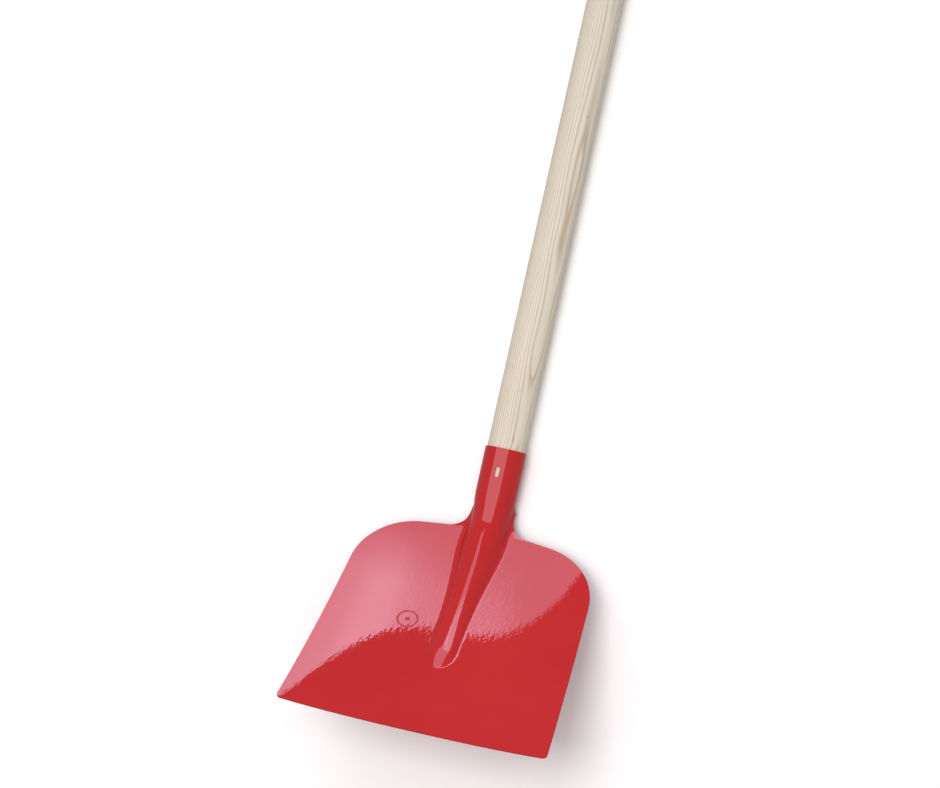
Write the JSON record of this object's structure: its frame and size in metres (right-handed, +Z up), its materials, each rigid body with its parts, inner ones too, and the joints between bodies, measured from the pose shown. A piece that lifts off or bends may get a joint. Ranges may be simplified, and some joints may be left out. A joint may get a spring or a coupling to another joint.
{
  "type": "square-mouth shovel",
  "caption": "Square-mouth roofing shovel: a red pressed-steel blade with a rolled socket and centre rib, lifted forward from a straight round ash handle.",
  "frame": {"origin": "centre of the bounding box in X and Y, at its lowest plane, which is the underside of the socket on the ground", "axes": "+X along the handle from the blade to the butt; +Z up, out of the front of the blade; +Y to the left when looking along +X. The shovel lies on its back with the cutting edge raised."},
  "size_m": [1.4758, 0.253, 0.1807],
  "materials": {
    "red_enamel": "gloss stoved enamel with light orange peel",
    "ash_wood": "turned and sanded, bare",
    "zinc_screw": "bright zinc plate"
  },
  "bodies": {
    "root": {"blade_socket": "red_enamel", "handle": "ash_wood", "handle_screw": "zinc_screw"}
  },
  "joints": []
}
